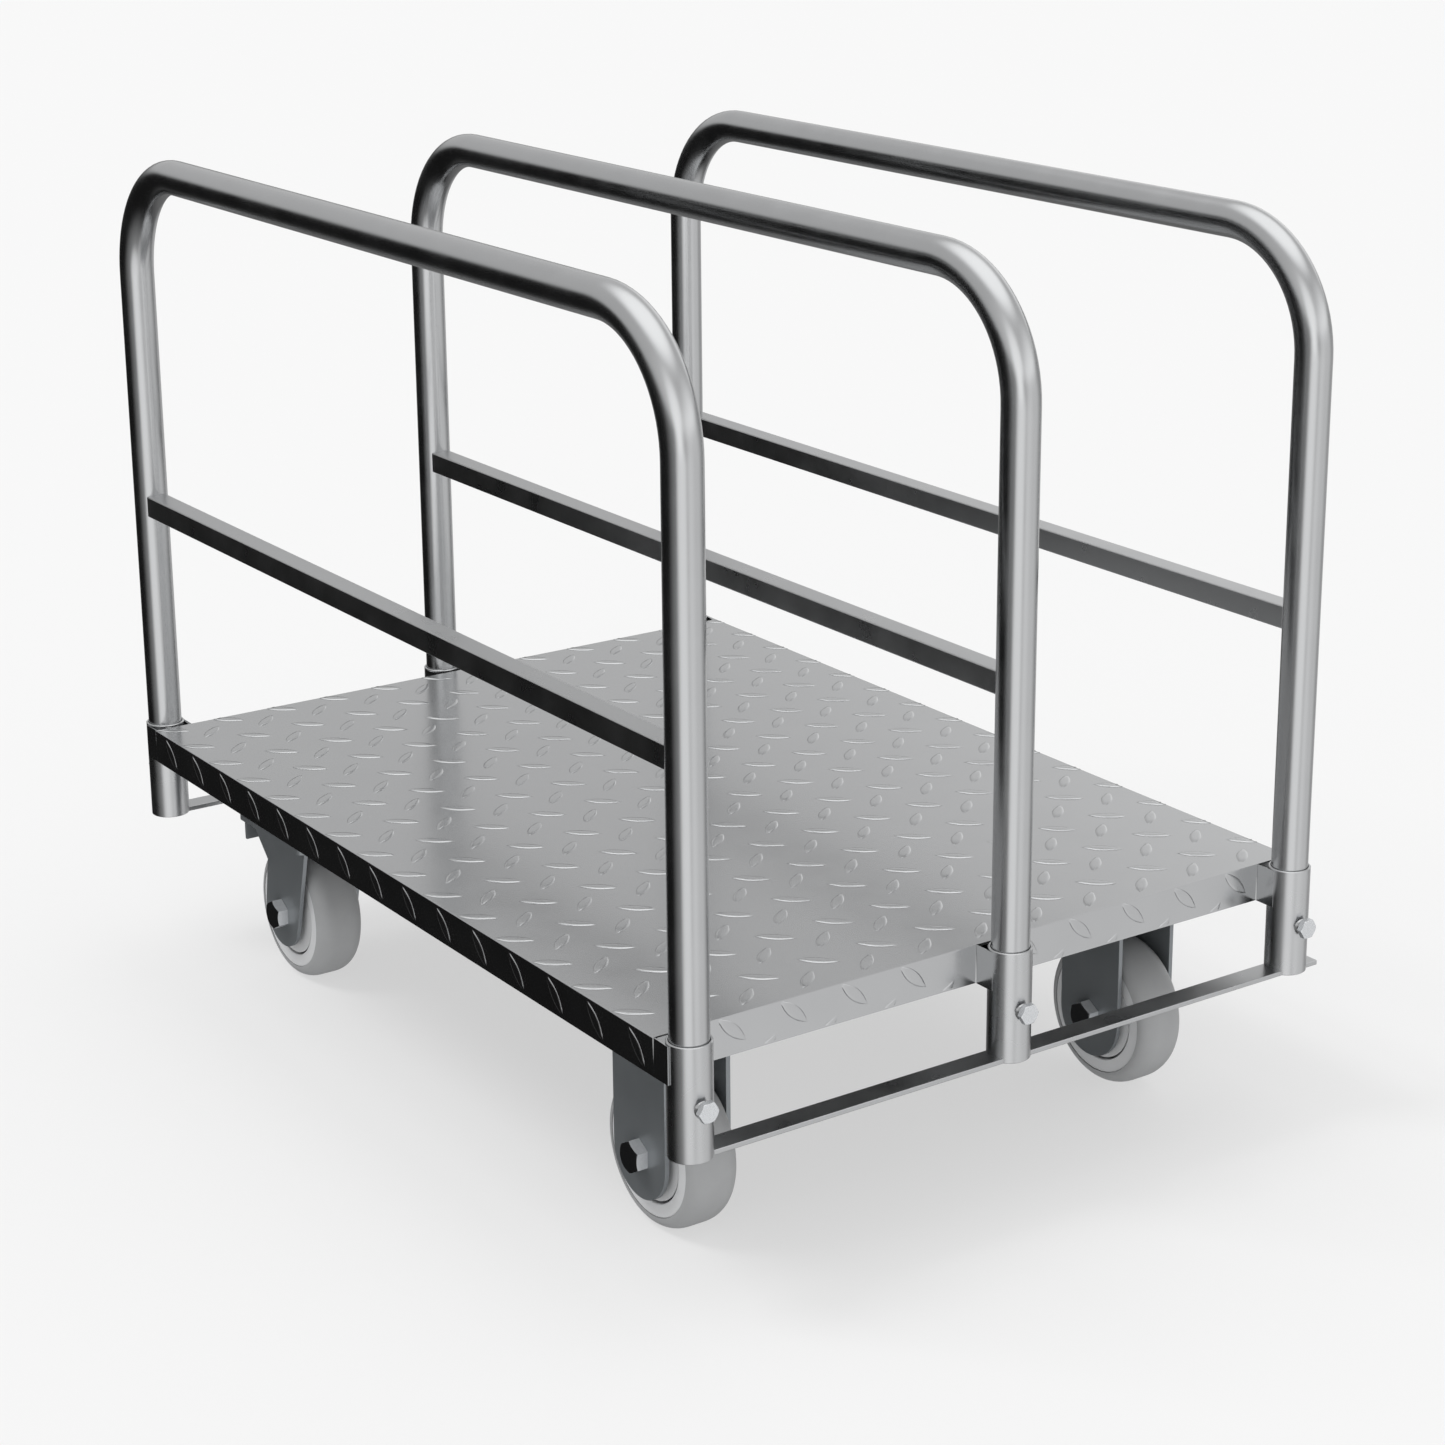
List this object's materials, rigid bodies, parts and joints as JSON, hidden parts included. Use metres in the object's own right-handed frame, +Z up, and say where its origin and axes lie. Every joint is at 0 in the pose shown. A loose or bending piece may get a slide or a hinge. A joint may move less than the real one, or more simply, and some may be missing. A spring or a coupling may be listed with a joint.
{
  "type": "flatbed platform truck",
  "caption": "Low steel platform truck for sheet goods: tread-plate deck on fixed and swivel casters, with lift-out tubular hoop frames clamped in sockets along both ends.",
  "frame": {"origin": "on the floor under the middle of the truck", "axes": "+Z up, +X along the truck to the end with the fixed casters, +Y to the left side"},
  "size_m": [1.1806, 0.7995, 0.9455],
  "materials": {
    "tread_plate": "rolled steel sheet with a raised tread pattern, dull satin",
    "satin_tube": "drawn steel tube, satin bright",
    "welded_steel": "cut and welded steel, satin",
    "underframe_steel": "mill finish steel section",
    "zinc_fasteners": "bright zinc plate",
    "fork_paint": "semi-gloss slate grey paint",
    "grey_tread": "moulded grey thermoplastic rubber, satin",
    "wheel_core": "moulded light grey polypropylene",
    "thread_guard": "moulded grey plastic disc",
    "bearing_steel": "ground steel"
  },
  "bodies": {
    "chassis": {"deck_plate": "tread_plate", "right_long_member": "underframe_steel", "middle_long_member": "underframe_steel", "left_long_member": "underframe_steel", "front_caster_beam": "underframe_steel", "rear_caster_beam": "underframe_steel", "front_cross_rail": "welded_steel", "rear_cross_rail": "welded_steel", "front_right_socket": "welded_steel", "front_middle_socket": "welded_steel", "front_left_socket": "welded_steel", "rear_right_socket": "welded_steel", "rear_middle_socket": "welded_steel", "rear_left_socket": "welded_steel", "front_right_fork": "fork_paint", "front_left_fork": "fork_paint", "front_axle_bolts": "zinc_fasteners", "front_axle_nuts": "zinc_fasteners", "rear_right_top_plate": "fork_paint", "rear_left_top_plate": "fork_paint", "rear_kingpins": "zinc_fasteners", "rear_swivel_races": "bearing_steel", "caster_plate_bolts": "zinc_fasteners", "caster_plate_nuts": "zinc_fasteners"},
    "right_hoop": {"right_hoop_tube": "satin_tube", "right_mid_bar": "satin_tube"},
    "middle_hoop": {"middle_hoop_tube": "satin_tube", "middle_mid_bar": "satin_tube"},
    "left_hoop": {"left_hoop_tube": "satin_tube", "left_mid_bar": "satin_tube"},
    "front_right_clamp": {"front_right_clamp_bolt": "zinc_fasteners"},
    "front_middle_clamp": {"front_middle_clamp_bolt": "zinc_fasteners"},
    "front_left_clamp": {"front_left_clamp_bolt": "zinc_fasteners"},
    "rear_right_clamp": {"rear_right_clamp_bolt": "zinc_fasteners"},
    "rear_middle_clamp": {"rear_middle_clamp_bolt": "zinc_fasteners"},
    "rear_left_clamp": {"rear_left_clamp_bolt": "zinc_fasteners"},
    "front_right_wheel": {"front_right_tread": "grey_tread", "front_right_core": "wheel_core", "front_right_bearings": "bearing_steel", "front_right_thread_guards": "thread_guard"},
    "front_left_wheel": {"front_left_tread": "grey_tread", "front_left_core": "wheel_core", "front_left_bearings": "bearing_steel", "front_left_thread_guards": "thread_guard"},
    "rear_right_swivel": {"rear_right_fork": "fork_paint", "rear_right_axle_bolt": "zinc_fasteners", "rear_right_axle_nut": "zinc_fasteners"},
    "rear_right_wheel": {"rear_right_tread": "grey_tread", "rear_right_core": "wheel_core", "rear_right_bearings": "bearing_steel", "rear_right_thread_guards": "thread_guard"},
    "rear_left_swivel": {"rear_left_fork": "fork_paint", "rear_left_axle_bolt": "zinc_fasteners", "rear_left_axle_nut": "zinc_fasteners"},
    "rear_left_wheel": {"rear_left_tread": "grey_tread", "rear_left_core": "wheel_core", "rear_left_bearings": "bearing_steel", "rear_left_thread_guards": "thread_guard"}
  },
  "joints": [
    {"name": "right_hoop_lift", "type": "slide", "parent": "chassis", "child": "right_hoop", "axis": [0, 0, 1], "range_m": [0, 0.112]},
    {"name": "middle_hoop_lift", "type": "slide", "parent": "chassis", "child": "middle_hoop", "axis": [0, 0, 1], "range_m": [0, 0.112]},
    {"name": "left_hoop_lift", "type": "slide", "parent": "chassis", "child": "left_hoop", "axis": [0, 0, 1], "range_m": [0, 0.112]},
    {"name": "front_right_clamp_unscrew", "type": "slide", "parent": "chassis", "child": "front_right_clamp", "axis": [1, 0, 0], "range_m": [0, 0.012]},
    {"name": "front_middle_clamp_unscrew", "type": "slide", "parent": "chassis", "child": "front_middle_clamp", "axis": [1, 0, 0], "range_m": [0, 0.012]},
    {"name": "front_left_clamp_unscrew", "type": "slide", "parent": "chassis", "child": "front_left_clamp", "axis": [1, 0, 0], "range_m": [0, 0.012]},
    {"name": "rear_right_clamp_unscrew", "type": "slide", "parent": "chassis", "child": "rear_right_clamp", "axis": [-1, 0, 0], "range_m": [0, 0.012]},
    {"name": "rear_middle_clamp_unscrew", "type": "slide", "parent": "chassis", "child": "rear_middle_clamp", "axis": [-1, 0, 0], "range_m": [0, 0.012]},
    {"name": "rear_left_clamp_unscrew", "type": "slide", "parent": "chassis", "child": "rear_left_clamp", "axis": [-1, 0, 0], "range_m": [0, 0.012]},
    {"name": "front_right_wheel_spin", "type": "hinge", "parent": "chassis", "child": "front_right_wheel", "pos_m": [0.394, -0.2846, 0.08], "axis": [0, 1, 0], "continuous": true},
    {"name": "front_left_wheel_spin", "type": "hinge", "parent": "chassis", "child": "front_left_wheel", "pos_m": [0.394, 0.2846, 0.08], "axis": [0, 1, 0], "continuous": true},
    {"name": "rear_right_swivel_turn", "type": "hinge", "parent": "chassis", "child": "rear_right_swivel", "pos_m": [-0.411, -0.2846, 0.184], "axis": [0, 0, 1], "continuous": true},
    {"name": "rear_right_wheel_spin", "type": "hinge", "parent": "rear_right_swivel", "child": "rear_right_wheel", "pos_m": [-0.371, -0.2846, 0.08], "axis": [0, 1, 0], "continuous": true},
    {"name": "rear_left_swivel_turn", "type": "hinge", "parent": "chassis", "child": "rear_left_swivel", "pos_m": [-0.411, 0.2846, 0.184], "axis": [0, 0, 1], "continuous": true},
    {"name": "rear_left_wheel_spin", "type": "hinge", "parent": "rear_left_swivel", "child": "rear_left_wheel", "pos_m": [-0.371, 0.2846, 0.08], "axis": [0, 1, 0], "continuous": true}
  ]
}
